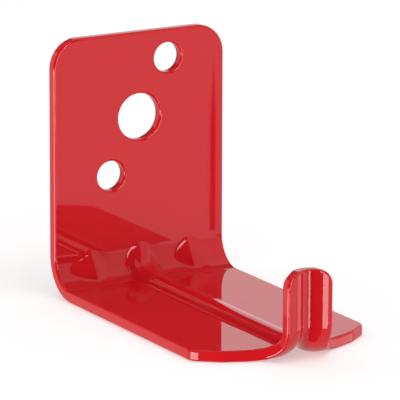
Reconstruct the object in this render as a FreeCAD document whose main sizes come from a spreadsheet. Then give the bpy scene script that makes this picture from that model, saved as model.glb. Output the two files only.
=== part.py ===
import FreeCAD, Part
import math
import os
import re
import Sketcher
from FreeCAD import Placement, Rotation, Vector

# Fire extinguisher bracket: one stamped, folded and painted steel sheet.
# The flat plate is screwed to the wall, the shelf runs out from its foot, and a narrow
# upturned tab at the front of the shelf takes the extinguisher's hanging strap.
# +X is to the right as seen from the room, +Y points into the wall, +Z is up.
# The steps below have the wall face of the plate in Y = 0, the underside of the shelf in
# Z = 0 and the middle of the plate in X = 0. The finished part is then lowered until its
# origin is the centre of the large hole. All sizes are millimetres and include the paint.

sizes = {
    "sheet": 2.2,             # thickness of the sheet
    "plateHeight": 50.8,      # from the underside of the shelf to the top edge
    "plateWidth": 37.9,
    "plateCorner": 5.8,       # radius of the two top corners
    "plateBend": 5.8,         # inner radius of the fold between plate and shelf
    "reach": 66.9,            # from the wall to the front of the tab
    "frontFlat": 0.9,         # flat shelf between the front corners and the fold of the tab
    "slantLength": 3.7,       # how far behind the front corners the side edges turn inward
    "frontWidth": 28.4,       # across the two front corners
    "frontLean": 23.0,        # degrees by which the front edges slant forward to the tab
    "sideCorner": 3.0,        # radius between side edge and slanting edge
    "frontCorner": 7.5,       # radius between slanting edge and front edge
    "tabWidth": 9.8,
    "tabTop": 17.45,          # height of the tab's top edge over the underside
    "tabBend": 4.8,           # inner radius of the fold between shelf and tab
    "tabCorner": 3.0,         # radius of the tab's two top corners
    "tabRoot": 5.5,           # hollow radius where the front edge sweeps up into the tab's side
    "ribHeight": 1.4,         # how far the middle rib stands above the sheet
    "ribCrown": 4.4,          # radius across the top of the rib
    "ribBlend": 1.6,          # radius of the hollow along its foot
    "hollowBlend": 7.0,       # radius of the swell along the hollow under the rib
    "ribTop": 8.3,            # height at which the rib's crest runs into the plate
    "ribLean": 32.0,          # degrees between the plate and that last stretch of crest
    "ribSweep": 7.5,          # radius of the crest between shelf and plate
    "dartSpread": 10.8,       # from the middle of the plate to each corner dart
    "dartRise": 0.88,         # height of a dart's crest above the fold
    "dartLean": 32.0,         # degrees between the plate and the crest
    "dartOuter": 5.0,         # sideways from the crest to the foot of the long outer flank
    "dartInner": 3.2,         # sideways from the crest to the foot of the short inner flank
    "dartCrown": 1.5,         # radius across the crest
    "dartBlend": 1.8,         # radius of the hollow round its foot
    "wallHole": 9.2,          # diameter of the large hole
    "wallHoleDrop": 16.9,     # from the top edge down to its centre
    "screwHole": 5.9,         # diameter of the two small holes
    "screwAcross": 12.7,      # sideways distance between the small holes
    "screwUp": 22.4,          # upward distance between the small holes
    "edgeRound": 0.45,        # rounding that stamping and paint leave on a cut edge
}
trimmed = 3                   # spare stock that the outline cuts take off
sharpAngle = 8                # degrees between two faces that meet in a sharp edge

doc = FreeCAD.newDocument("Bracket")
sheet = doc.addObject("Spreadsheet::Sheet", "Sizes")
for row, (alias, value) in enumerate(sizes.items(), start=1):
    sheet.set(f"A{row}", alias)
    sheet.set(f"B{row}", str(value))
    sheet.setAlias(f"B{row}", alias)
body = doc.addObject("PartDesign::Body", "bracket")
body.Label = "bracket"
doc.recompute()


def formula(text):
    """An expression in which the names of sizes point at their cells."""
    return re.sub(r"[A-Za-z]+", lambda word: ("Sizes." if word[0] in sizes else "") + word[0], str(text))


def worth(text):
    """What a formula comes to now."""
    return float(sheet.evalExpression(formula(text)))


def newSketch(name, role, shift=None, turn=0):
    """A sketch on one of the body's own planes, shifted and then turned about -X by formulas."""
    sketch = body.newObject("Sketcher::SketchObject", name)
    plane = [item for item in body.Origin.OriginFeatures if item.Role == role][0]
    sketch.AttachmentSupport = (plane, "")
    sketch.MapMode = "FlatFace"
    sketch.AttachmentOffset = Placement(Vector(), Rotation(Vector(-1, 0, 0), worth(turn)))
    for axis, text in (shift or {}).items():
        sketch.setExpression(f"AttachmentOffset.Base.{axis}", formula(text))
    if turn:
        sketch.setExpression("AttachmentOffset.Rotation.Angle", formula(turn))
    return sketch


def tie(sketch, kind, where, text):
    """A dimension of the sketch that follows a formula."""
    index = sketch.addConstraint(Sketcher.Constraint(kind, *where, worth(text)))
    sketch.setExpression(f"Constraints[{index}]", formula(text))


def pin(sketch, geometry, end, across, up):
    """Hold a point at a distance across and up from the sketch's origin."""
    tie(sketch, "DistanceX", (-1, 1, geometry, end), across)
    tie(sketch, "DistanceY", (-1, 1, geometry, end), up)


def drawLines(sketch, corners, closed=True):
    """Straight lines from corner to corner: each is (across, up, radius), radius 0 if sharp."""
    count = len(corners)
    places = [Vector(worth(across), worth(up), 0) for across, up, radius in corners]
    onward = [(places[(n + 1) % count] - places[n]).normalize() for n in range(count)]
    halves = [(-onward[n - 1]).getAngle(onward[n]) / 2 for n in range(count)]
    cuts = [worth(radius) / math.tan(half) for (across, up, radius), half in zip(corners, halves)]
    lines = []
    for n in range(count if closed else count - 1):
        after = (n + 1) % count
        start = places[n] + onward[n] * cuts[n]
        end = places[after] - onward[n] * cuts[after]
        lines.append(sketch.addGeometry(Part.LineSegment(start, end)))
    for n, (across, up, radius) in enumerate(corners):
        point = sketch.addGeometry(Part.Point(places[n]), True)
        pin(sketch, point, 1, across, up)
        ends = ([(lines[n - 1], 2)] if closed or n > 0 else []) + ([(lines[n], 1)] if n < len(lines) else [])
        for line, end in ends:
            if radius:
                sketch.addConstraint(Sketcher.Constraint("PointOnObject", point, 1, line))
            else:
                sketch.addConstraint(Sketcher.Constraint("Coincident", point, 1, line, end))
        if radius:
            inward = (onward[n] - onward[n - 1]).normalize()
            centre = places[n] + inward * (worth(radius) / math.sin(halves[n]))
            turnsLeft = onward[n - 1].cross(onward[n]).z > 0
            roundCorner(sketch, ends, centre, onward[n - 1], onward[n], turnsLeft, radius)
    return sketch


def roundCorner(sketch, ends, centre, before, after, turnsLeft, radius):
    """An arc tangent to two lines, from the direction of one to the direction of the other."""
    first, last = (before, after) if turnsLeft else (-after, -before)
    angles = [math.atan2(-side.x, side.y) for side in (first, last)]
    circle = Part.Circle(centre, Vector(0, 0, 1), worth(radius))
    arc = sketch.addGeometry(Part.ArcOfCircle(circle, *angles))
    for (line, end), arcEnd in zip(ends, (1, 2) if turnsLeft else (2, 1)):
        sketch.addConstraint(Sketcher.Constraint("Tangent", line, end, arc, arcEnd))
    tie(sketch, "Radius", (arc,), radius)


def drawCrown(sketch, middle, crest, radius, chord, crestDown):
    """A circle's segment over a chord across the sketch, with its crest at the given height."""
    up = -1 if crestDown else 1
    centre = f"{crest} - {up} * ({radius})"
    reach = worth(radius)
    chordUp = up * (worth(chord) - worth(centre))
    spread = math.acos(chordUp / reach)
    top = up * math.pi / 2
    circle = Part.Circle(Vector(worth(middle), worth(centre), 0), Vector(0, 0, 1), reach)
    arc = sketch.addGeometry(Part.ArcOfCircle(circle, top - spread, top + spread))
    line = sketch.addGeometry(Part.LineSegment(sketch.getPoint(arc, 2), sketch.getPoint(arc, 1)))
    sketch.addConstraint(Sketcher.Constraint("Coincident", arc, 2, line, 1))
    sketch.addConstraint(Sketcher.Constraint("Coincident", line, 2, arc, 1))
    sketch.addConstraint(Sketcher.Constraint("Horizontal", line))
    pin(sketch, arc, 3, middle, centre)
    tie(sketch, "Radius", (arc,), radius)
    tie(sketch, "DistanceY", (-1, 1, line, 1), chord)


def newFeature(kind, name, **settings):
    """A step of the body: its settings, and its lengths as formulas."""
    feature = body.newObject("PartDesign::" + kind, name)
    for setting, value in settings.items():
        if setting in ("Length", "Radius"):
            feature.setExpression(setting, formula(value))
        else:
            setattr(feature, setting, value)
    doc.recompute()
    if not feature.Shape.isValid() or len(feature.Shape.Solids) != 1:
        raise RuntimeError(f"{name} has no single valid solid")
    return feature


def sharpEdges(feature, wanted):
    """Names of the edges whose two faces meet at an angle and whose box is wanted."""
    names = []
    for number, edge in enumerate(feature.Shape.Edges, start=1):
        faces = feature.Shape.ancestorsOfType(edge, Part.Face)
        if len(faces) != 2 or not wanted(edge.BoundBox):
            continue
        middle = edge.valueAt((edge.FirstParameter + edge.LastParameter) / 2)
        normals = [face.normalAt(*face.Surface.parameter(middle)) for face in faces]
        if math.degrees(normals[0].getAngle(normals[1])) > sharpAngle:
            names.append(f"Edge{number}")
    return names


def roundEdges(name, radius, wanted):
    """Round the sharp edges of the body that are wanted."""
    return newFeature("Fillet", name, Base=(body.Tip, sharpEdges(body.Tip, wanted)), Radius=radius)


def widthOf(box):
    """How far a box reaches from the middle plane."""
    return max(abs(box.XMin), abs(box.XMax))


# The folded sheet: plate, shelf and tab in one thickness, wider and higher than finished.
outerBend = "(plateBend + sheet)"
profile = drawLines(newSketch("SideView", "YZ_Plane"), [
    (0, "plateHeight", 0),
    (0, 0, outerBend),
    ("-reach", 0, "tabBend + sheet"),
    ("-reach", f"tabTop + {trimmed}", 0),
    ("sheet - reach", f"tabTop + {trimmed}", 0),
    ("sheet - reach", "sheet", "tabBend"),
    ("-sheet", "sheet", "plateBend"),
    ("-sheet", "plateHeight", 0),
])
newFeature("Pad", "FoldedSheet", Profile=profile, SideType="Symmetric",
           Length=f"plateWidth + 2 * {trimmed}")

# The middle rib: pressed up from below, from the plate's fold to the top of the tab.
ramp = "tan(ribLean * 1deg)"
rampFoot = f"(sheet + (ribTop - sheet - ribHeight) * {ramp})"
ribBite = "sheet / 8"
ribLine = drawLines(newSketch("RibLine", "YZ_Plane"), [
    ("sheet + ribHeight - reach", f"tabTop + {trimmed}", 0),
    ("sheet + ribHeight - reach", "sheet + ribHeight", "tabBend - ribHeight"),
    (f"-{rampFoot}", "sheet + ribHeight", "ribSweep"),
    (f"{ribBite} - sheet", f"ribTop + {ribBite} / {ramp}", 0),
], closed=False)
ribSection = newSketch("RibSection", "XY_Plane", shift={"z": f"tabTop + {trimmed}"})
drawCrown(ribSection, 0, "sheet + ribHeight - reach", "ribCrown", "sheet * 3 / 4 - reach", False)
newFeature("AdditivePipe", "Rib", Profile=ribSection, Spine=ribLine)
ribWidth = sizes["ribCrown"] + sizes["ribBlend"]
besideRib = lambda box: widthOf(box) < ribWidth and box.ZMin < sizes["tabTop"]
roundEdges("RibFoot", "ribBlend", besideRib)

# The hollow that the rib leaves on the underside, behind the fold and up the tab's front.
hollowFoot = f"(sheet * tan((90 - ribLean) * 0.5deg) - {rampFoot})"
hollowLine = drawLines(newSketch("HollowLine", "YZ_Plane"), [
    ("ribHeight - reach", f"tabTop + 2 * {trimmed}", 0),
    ("ribHeight - reach", "ribHeight", "tabBend + sheet - ribHeight"),
    (hollowFoot, "ribHeight", "ribSweep + sheet"),
    (ribBite, f"ribHeight + ({ribBite} - {hollowFoot}) / {ramp}", 0),
], closed=False)
hollowSection = newSketch("HollowSection", "XY_Plane", shift={"z": f"tabTop + 2 * {trimmed}"})
drawCrown(hollowSection, 0, "ribHeight - reach", "ribCrown - sheet",
          "ribHeight - reach - ribCrown + sheet", False)
newFeature("SubtractivePipe", "RibHollow", Profile=hollowSection, Spine=hollowLine)
roundEdges("HollowEdge", "min(hollowBlend; ribSweep * 0.95)", besideRib)

# Two darts stiffen the fold, one each side of the rib, with their dents behind.
middleOfFold = {"y": f"-{outerBend}", "z": outerBend}
besideDarts = lambda box: ribWidth < widthOf(box) < sizes["plateWidth"] / 2 - 1 and box.XMin * box.XMax > 0
dartSink = "sheet * 0.3"
dartSpan = f"(1 + {dartSink} / dartRise)"
for name, skin, radius in (("DartSection", "plateBend", "dartCrown"), ("DentSection", outerBend, 0)):
    section = newSketch(name, "XY_Plane", middleOfFold, "dartLean")
    for side in (-1, 1):
        drawLines(section, [
            (f"{side} * (dartSpread + dartOuter * {dartSpan})", f"{skin} + {dartSink}", 0),
            (f"{side} * dartSpread", f"{skin} - dartRise", radius),
            (f"{side} * (dartSpread - dartInner * {dartSpan})", f"{skin} + {dartSink}", 0),
        ])
    if name == "DartSection":
        newFeature("Pad", "Darts", Profile=section, SideType="Symmetric",
                   Length="2 * (sqrt(dartRise * (2 * plateBend - dartRise)) + sheet / 6)")
        roundEdges("DartFoot", "dartBlend", besideDarts)
    else:
        newFeature("Pocket", "Dents", Profile=section, SideType="Symmetric", Length=f"2 * {outerBend}")
        roundEdges("DentEdge", "dartBlend", besideDarts)

# The cut outline of the shelf, seen from above: its sides and the slanting edges.
foldStart = "(tabBend + sheet - reach)"
frontCornerAt = f"({foldStart} + frontFlat)"
outline = newSketch("Outline", "XY_Plane")
for side in (-1, 1):
    edge = f"{side} * plateWidth / 2"
    waste = f"{side} * (plateWidth / 2 + 2 * {trimmed})"
    drawLines(outline, [
        (edge, trimmed, 0),
        (edge, f"{frontCornerAt} + slantLength", "sideCorner"),
        (f"{side} * (frontWidth - plateWidth / 2)", f"{frontCornerAt} - slantLength", 0),
        (waste, f"{frontCornerAt} - slantLength", 0),
        (waste, trimmed, 0),
    ])
newFeature("Pocket", "OutlineCut", Profile=outline, SideType="Symmetric",
           Length=f"2 * (plateHeight + {trimmed})")

# The front edges run on round the fold, square to the sheet, and sweep up into the tab's sides.
# Distances are measured along the middle of the sheet and count from the start of the fold.
frontSlope = "tan(frontLean * 1deg)"
middleBend = "(tabBend + sheet / 2)"
foldLength = f"(pi / 2 * {middleBend})"
meeting = f"((frontWidth - tabWidth) / 2 * {frontSlope} - frontFlat)"
sweep = "tan((90 - frontLean) * 0.5deg)"
root = f"min(tabRoot; (0.8 * {foldLength} - {meeting}) / {sweep})"   # ends on the fold
rootEnd = f"({meeting} + {root} * {sweep})"
rootStart = f"({meeting} - {root} * {sweep} * sin(frontLean * 1deg))"
lead = f"((plateWidth - frontWidth) / 2 * {frontSlope} + frontFlat + {trimmed} / 3)"
steps = 16                    # from section to section of the cut, along each front edge
for side, name in ((-1, "LeftEdge"), (1, "RightEdge")):
    sections = []
    for step in range(steps + 1):
        along = f"({step} / {steps} * ({foldLength} + {lead}) - {lead})"
        straight = f"frontWidth / 2 - ({along} + frontFlat) / {frontSlope}"
        hollow = f"tabWidth / 2 + {root} - sqrt({root}^2 - ({rootEnd} - {along})^2)"
        beyond = f"({along} < {rootEnd} ? {hollow} : tabWidth / 2)"
        across = f"{side} * ({along} < {rootStart} ? {straight} : {beyond})"
        waste = f"{side} * (plateWidth / 2 + 2 * {trimmed})"
        place = {"y": f"{foldStart} - min(0; {along})", "z": "tabBend + sheet"}
        turn = f"90 + max(0; {along}) / {middleBend} * 180 / pi"
        section = newSketch(f"{name}{step}", "XY_Plane", place, turn)
        sections.append(drawLines(section, [
            (across, f"tabBend - {trimmed}", 0),
            (waste, f"tabBend - {trimmed}", 0),
            (waste, f"tabBend + sheet + {trimmed}", 0),
            (across, f"tabBend + sheet + {trimmed}", 0),
        ]))
    newFeature("SubtractiveLoft", name + "Cut", Profile=sections[0], Sections=sections[1:])
roundEdges("FrontCorners", "frontCorner", lambda box: box.ZMax < 1.1 * sizes["sheet"]
           and box.ZLength > box.XLength + box.YLength)

# The upright sides and the round end of the tab, and the round corners of the plate.
tabEnd = newSketch("TabEnd", "XZ_Plane", {"z": "reach"})
start = "tabBend + sheet"     # where the fold ends
wasteSide = f"(tabWidth / 2 + plateWidth / 2 + {trimmed})"
drawLines(tabEnd, [
    ("-tabWidth / 2", start, 0),
    ("-tabWidth / 2", "tabTop", "tabCorner"),
    ("tabWidth / 2", "tabTop", "tabCorner"),
    ("tabWidth / 2", start, 0),
    (wasteSide, start, 0),
    (wasteSide, f"tabTop + 2 * {trimmed}", 0),
    (f"-{wasteSide}", f"tabTop + 2 * {trimmed}", 0),
    (f"-{wasteSide}", start, 0),
])
newFeature("Pocket", "TabEndCut", Profile=tabEnd, SideType="Symmetric",
           Length=f"2 * (sheet + ribHeight + {trimmed})")
high = sizes["plateHeight"] - 0.1
roundEdges("PlateCorners", "plateCorner", lambda box: box.ZMin > high and widthOf(box) > 1
           and box.YLength > box.XLength)

# The large hole in the middle and the two screw holes across a slanting line through it.
holes = newSketch("Holes", "XZ_Plane")
wallHoleHeight = "(plateHeight - wallHoleDrop)"
for name, across, up in (
    ("wallHole", "0", wallHoleHeight),
    ("screwHole", "screwAcross / 2", f"{wallHoleHeight} + screwUp / 2"),
    ("screwHole", "-screwAcross / 2", f"{wallHoleHeight} - screwUp / 2"),
):
    centre = Vector(worth(across), worth(up), 0)
    circle = holes.addGeometry(Part.Circle(centre, Vector(0, 0, 1), worth(name) / 2))
    pin(holes, circle, 3, across, up)
    tie(holes, "Diameter", (circle,), name)
newFeature("Pocket", "HoleCut", Profile=holes, SideType="Symmetric",
           Length=f"2 * (sheet + {trimmed})")
roundEdges("EdgeRounding", "edgeRound", lambda box: True)

# The origin of the finished part is the centre of the large hole, on the wall face.
body.setExpression("Placement.Base.z", formula(f"-{wallHoleHeight} * 1mm"))
doc.recompute()

for item in doc.Objects:
    states = [state for state in item.State if state in ("Invalid", "Error")]
    if states:
        raise RuntimeError(f"{item.Name} is {states}")
shape = body.Shape
if shape.isNull() or not shape.isValid() or len(shape.Solids) != 1:
    raise RuntimeError("the bracket is not one valid solid")
os.makedirs("parts", exist_ok=True)
shape.exportStep("parts/bracket.step")
box = shape.BoundBox
print(f"bracket {box.XLength:.2f} x {box.YLength:.2f} x {box.ZLength:.2f} mm,"
      f" {shape.Volume:.0f} mm3, {len(shape.Faces)} faces")
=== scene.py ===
import math

import bpy
from mathutils import Matrix, Vector


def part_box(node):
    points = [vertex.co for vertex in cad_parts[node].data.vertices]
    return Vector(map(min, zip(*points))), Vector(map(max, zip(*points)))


# A red enamelled extinguisher bracket on a white table, in a studio. Lengths are in metres.

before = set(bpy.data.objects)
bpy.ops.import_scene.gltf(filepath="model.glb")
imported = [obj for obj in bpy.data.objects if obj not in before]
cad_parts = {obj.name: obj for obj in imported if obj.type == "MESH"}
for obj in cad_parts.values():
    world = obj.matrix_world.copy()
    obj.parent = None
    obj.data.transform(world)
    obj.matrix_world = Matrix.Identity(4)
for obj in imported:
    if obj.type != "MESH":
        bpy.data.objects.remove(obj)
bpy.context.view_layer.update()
print("frame loaded", sorted(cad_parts))

scene = bpy.context.scene
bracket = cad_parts["bracket"]
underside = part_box("bracket")[0].z


def newMaterial(name):
    material = bpy.data.materials.new(name)
    material.use_nodes = True
    material.node_tree.nodes.clear()
    return material, material.node_tree


def addNode(tree, kind, **settings):
    node = tree.nodes.new(kind)
    for key, value in settings.items():
        setattr(node, key, value)
    return node


def aimAt(thing, place, target, roll=0.0):
    look = (Vector(target) - Vector(place)).to_track_quat("-Z", "Y").to_matrix()
    turned = look @ Matrix.Rotation(math.radians(roll), 3, "Z")
    thing.location = place
    thing.rotation_euler = turned.to_euler()


# Glossy red enamel, baked on over the steel
enamel = {
    "colour": (0.60, 0.0095, 0.0145, 1),
    "paintedShadeColour": (0.50, 0.0070, 0.0100, 1),  # painted shade: a darker tone in hollow corners
    "paintedShadeReach": 0.0025,
    "paintedShadeSamples": 6,
    "refraction": 1.5,
    "roughness": 0.032,
    "clearest": 0.7,          # share of the roughness where the gloss is best
    "dullest": 1.3,           # and where it is worst
    "dullSize": 0.006,
    "dullDetail": 2,
    "cloudSize": 0.018,
    "cloudDetail": 3,
    "cloudContrast": 0.10,
    "peelSize": 0.0035,       # length of the slow waves that the paint dries with
    "peelHeight": 0.0000015,
    "grainSize": 0.0004,
    "grainHeight": 0.0000002,
    "waveDetail": 1,          # for the slow waves and the grain
}


def makeEnamel():
    material, tree = newMaterial("redEnamel")
    link = tree.links.new
    place = addNode(tree, "ShaderNodeTexCoord")
    shader = addNode(tree, "ShaderNodeBsdfPrincipled")
    shader.inputs["IOR"].default_value = enamel["refraction"]
    output = addNode(tree, "ShaderNodeOutputMaterial")
    link(shader.outputs["BSDF"], output.inputs["Surface"])

    def noise(size, detail):
        texture = addNode(tree, "ShaderNodeTexNoise")
        texture.inputs["Scale"].default_value = 1 / size
        texture.inputs["Detail"].default_value = detail
        link(place.outputs["Object"], texture.inputs["Vector"])
        return texture.outputs["Fac"]

    # colour: slow clouds, and painted shade, a deeper tone in hollow corners where the ambient
    # occlusion falls
    clouds = addNode(tree, "ShaderNodeMapRange")
    clouds.inputs["To Min"].default_value = 1 - enamel["cloudContrast"] / 2
    clouds.inputs["To Max"].default_value = 1 + enamel["cloudContrast"] / 2
    link(noise(enamel["cloudSize"], enamel["cloudDetail"]), clouds.inputs["Value"])
    # painted shade: ambient occlusion darkens the colour in hollows
    paintedShade = addNode(tree, "ShaderNodeAmbientOcclusion", samples=enamel["paintedShadeSamples"], only_local=True)
    paintedShade.inputs["Distance"].default_value = enamel["paintedShadeReach"]
    tone = addNode(tree, "ShaderNodeMix", data_type="RGBA")
    tone.inputs["A"].default_value = enamel["paintedShadeColour"]
    tone.inputs["B"].default_value = enamel["colour"]
    link(paintedShade.outputs["AO"], tone.inputs["Factor"])
    shaded = addNode(tree, "ShaderNodeVectorMath", operation="SCALE")
    link(tone.outputs["Result"], shaded.inputs["Vector"])
    link(clouds.outputs["Result"], shaded.inputs["Scale"])
    link(shaded.outputs["Vector"], shader.inputs["Base Color"])

    # gloss: nearly a mirror, a little duller in patches
    gloss = addNode(tree, "ShaderNodeMapRange")
    gloss.inputs["To Min"].default_value = enamel["roughness"] * enamel["clearest"]
    gloss.inputs["To Max"].default_value = enamel["roughness"] * enamel["dullest"]
    link(noise(enamel["dullSize"], enamel["dullDetail"]), gloss.inputs["Value"])
    link(gloss.outputs["Result"], shader.inputs["Roughness"])

    # surface: slow waves and a fine grain on them
    peel = addNode(tree, "ShaderNodeBump")
    peel.inputs["Distance"].default_value = enamel["peelHeight"]
    link(noise(enamel["peelSize"], enamel["waveDetail"]), peel.inputs["Height"])
    grain = addNode(tree, "ShaderNodeBump")
    grain.inputs["Distance"].default_value = enamel["grainHeight"]
    link(noise(enamel["grainSize"], enamel["waveDetail"]), grain.inputs["Height"])
    link(peel.outputs["Normal"], grain.inputs["Normal"])
    link(grain.outputs["Normal"], shader.inputs["Normal"])
    return material


bracket.data.materials.clear()
bracket.data.materials.append(makeEnamel())
print("enamel made")


# White table
table = {
    "colour": (0.7, 0.7, 0.7, 1),
    "roughness": 1.0,
    "shine": 0.0,
    "lift": 0.43,             # brings it up to the white of the surroundings, for the camera only
    "halfSide": 1.5,
    "gap": 0.00005,           # below the bracket, so that the two surfaces aren't in one plane
}


def makeTable():
    side = table["halfSide"]
    height = underside - table["gap"]
    mesh = bpy.data.meshes.new("table")
    corners = [
        (-side, -side, height),
        (side, -side, height),
        (side, side, height),
        (-side, side, height),
    ]
    mesh.from_pydata(corners, [], [(0, 1, 2, 3)])
    top = bpy.data.objects.new("table", mesh)
    scene.collection.objects.link(top)
    material, tree = newMaterial("whiteTable")
    shader = addNode(tree, "ShaderNodeBsdfPrincipled")
    shader.inputs["Base Color"].default_value = table["colour"]
    shader.inputs["Roughness"].default_value = table["roughness"]
    shader.inputs["Specular IOR Level"].default_value = table["shine"]
    shader.inputs["Emission Strength"].default_value = table["lift"]
    path = addNode(tree, "ShaderNodeLightPath")
    tree.links.new(path.outputs["Is Camera Ray"], shader.inputs["Emission Color"])
    output = addNode(tree, "ShaderNodeOutputMaterial")
    tree.links.new(shader.outputs["BSDF"], output.inputs["Surface"])
    mesh.materials.append(material)
    top.visible_glossy = False    # the gloss sees the screens there
    top.visible_shadow = False    # two lamps hang lower than the table


# White surroundings
surroundings = {
    "colour": (1, 1, 1, 1),
    "light": 0.68,            # what they give as light
    "seen": 1.0,              # how white they look, straight, in gloss and through glass
}


def makeSurroundings():
    world = bpy.data.worlds.new("studio")
    scene.world = world
    world.use_nodes = True
    tree = world.node_tree
    tree.nodes.clear()
    link = tree.links.new
    path = addNode(tree, "ShaderNodeLightPath")
    seen = addNode(tree, "ShaderNodeMath", operation="MAXIMUM")
    link(path.outputs["Is Camera Ray"], seen.inputs[0])
    link(path.outputs["Is Glossy Ray"], seen.inputs[1])
    either = addNode(tree, "ShaderNodeMath", operation="MAXIMUM")
    link(seen.outputs["Value"], either.inputs[0])
    link(path.outputs["Is Transmission Ray"], either.inputs[1])
    strength = addNode(tree, "ShaderNodeMapRange")
    strength.inputs["To Min"].default_value = surroundings["light"]
    strength.inputs["To Max"].default_value = surroundings["seen"]
    link(either.outputs["Value"], strength.inputs["Value"])
    light = addNode(tree, "ShaderNodeBackground")
    light.inputs["Color"].default_value = surroundings["colour"]
    link(strength.outputs["Result"], light.inputs["Strength"])
    output = addNode(tree, "ShaderNodeOutputWorld")
    link(light.outputs["Background"], output.inputs["Surface"])


makeTable()
makeSurroundings()
print("table and surroundings made")


# Lamps light the bracket, and the gloss doesn't show them.
middle = Vector((0.0, -0.034, -0.010))
lamps = {
    # name: (degrees round from the front to the right, degrees up, distance, side, power in watts)
    "frontLamp": (28, -8, 1.2, 0.5, 4.9),
    "leftLamp": (-82, -14, 1.2, 0.4, 8.0),
    "topLamp": (20, 75, 1.2, 0.9, 2.8),
}


def towards(bearing, up):
    across = math.radians(bearing)
    rise = math.radians(up)
    level = math.cos(rise)
    return Vector((math.sin(across) * level, -math.cos(across) * level, math.sin(rise)))


def makeLamps():
    for name, (bearing, up, distance, side, power) in lamps.items():
        data = bpy.data.lights.new(name, "AREA")
        data.shape = "SQUARE"
        data.size = side
        data.energy = power
        lamp = bpy.data.objects.new(name, data)
        scene.collection.objects.link(lamp)
        aimAt(lamp, middle + towards(bearing, up) * distance, middle)
        lamp.visible_camera = False
        lamp.visible_glossy = False


# Screens are what the gloss shows: soft boxes, walls and black flags. They give no light.
screens = {
    # name: (distance, degrees round from, to, degrees up from, to, radiance)
    "walls": (2.0, -180, 180, -90, 90, 0.62),
    "backWall": (1.9, 95, 205, -8, 22, 0.97),
    "backFlag": (1.8, 130, 215, 22, 50, 0.1),
    "rightWall": (1.9, 27, 62, -40, -5, 0.95),
    "rightHigh": (1.9, 28, 72, -5, 60, 0.60),
    "gapFlag": (1.8, 14, 28, -11, 45, 0.0),
    "rightBox": (1.8, 68, 90, -22, 6, 1.7),
    "leftFlag": (1.7, -135, 0, -3, 66, 0.0),
    "lowFlag": (1.7, -48, 0, -80, -3, 0.0),
    "topFlag": (1.7, -30, 34, 38, 90, 0.0),
    "leftBox": (1.6, -104, -49, -28, -5, 6.5),
    "frontBox": (1.6, -3, 14, -30, 34, 5.6),
}
screenStep = 5                # degrees between the ribs of a screen

# A dark upright, mirrored as a thin line near the plate's right side
upright = {
    "outward": -0.0902,
    "radiance": 0.0,
    "corners": (              # across, up
        (0.0679, -0.0108),
        (0.0685, -0.0263),
        (0.0685, -0.0509),
        (0.0670, -0.0509),
        (0.0671, -0.0263),
    ),
}


def hang(mesh, name, radiance):
    screen = bpy.data.objects.new(name, mesh)
    scene.collection.objects.link(screen)
    material, tree = newMaterial(name)
    glow = addNode(tree, "ShaderNodeEmission")
    glow.inputs["Strength"].default_value = radiance
    output = addNode(tree, "ShaderNodeOutputMaterial")
    tree.links.new(glow.outputs["Emission"], output.inputs["Surface"])
    material.cycles.emission_sampling = "NONE"
    mesh.materials.append(material)
    screen.visible_camera = False
    screen.visible_diffuse = False
    screen.visible_transmission = False
    screen.visible_shadow = False


def makeScreen(name, distance, bearingFrom, bearingTo, upFrom, upTo, radiance):
    columns = math.ceil((bearingTo - bearingFrom) / screenStep)
    rows = math.ceil((upTo - upFrom) / screenStep)
    corners = []
    for row in range(rows + 1):
        up = upFrom + (upTo - upFrom) * row / rows
        for column in range(columns + 1):
            bearing = bearingFrom + (bearingTo - bearingFrom) * column / columns
            corners.append(middle + towards(bearing, up) * distance)
    tiles = []
    for row in range(rows):
        for column in range(columns):
            low = row * (columns + 1) + column
            high = low + columns + 1
            tiles.append((low, low + 1, high + 1, high))
    mesh = bpy.data.meshes.new(name)
    mesh.from_pydata(corners, [], tiles)
    hang(mesh, name, radiance)


def makeUpright():
    mesh = bpy.data.meshes.new("upright")
    corners = [(across, upright["outward"], up) for across, up in upright["corners"]]
    mesh.from_pydata(corners, [], [tuple(range(len(corners)))])
    hang(mesh, "upright", upright["radiance"])


makeLamps()
makeUpright()
for screenName, numbers in screens.items():
    makeScreen(screenName, *numbers)
print("lamps and screens made")


# The photograph's view: from the front left, a little above
view = {
    "place": (-0.4099, -0.7356, 0.1908),
    "direction": (0.48555, 0.84066, -0.23985),
    "roll": 0.18,             # degrees
    "lens": 396.5,            # lens and sensor in millimetres
    "sensor": 36.0,
    "nearest": 0.01,
    "farthest": 20,
}


def makeCamera():
    data = bpy.data.cameras.new("camera")
    data.lens = view["lens"]
    data.sensor_width = view["sensor"]
    data.clip_start = view["nearest"]
    data.clip_end = view["farthest"]
    camera = bpy.data.objects.new("camera", data)
    scene.collection.objects.link(camera)
    aimAt(camera, view["place"], Vector(view["place"]) + Vector(view["direction"]), view["roll"])
    scene.camera = camera


makeCamera()
scene.view_settings.view_transform = "Standard"
print("camera made")
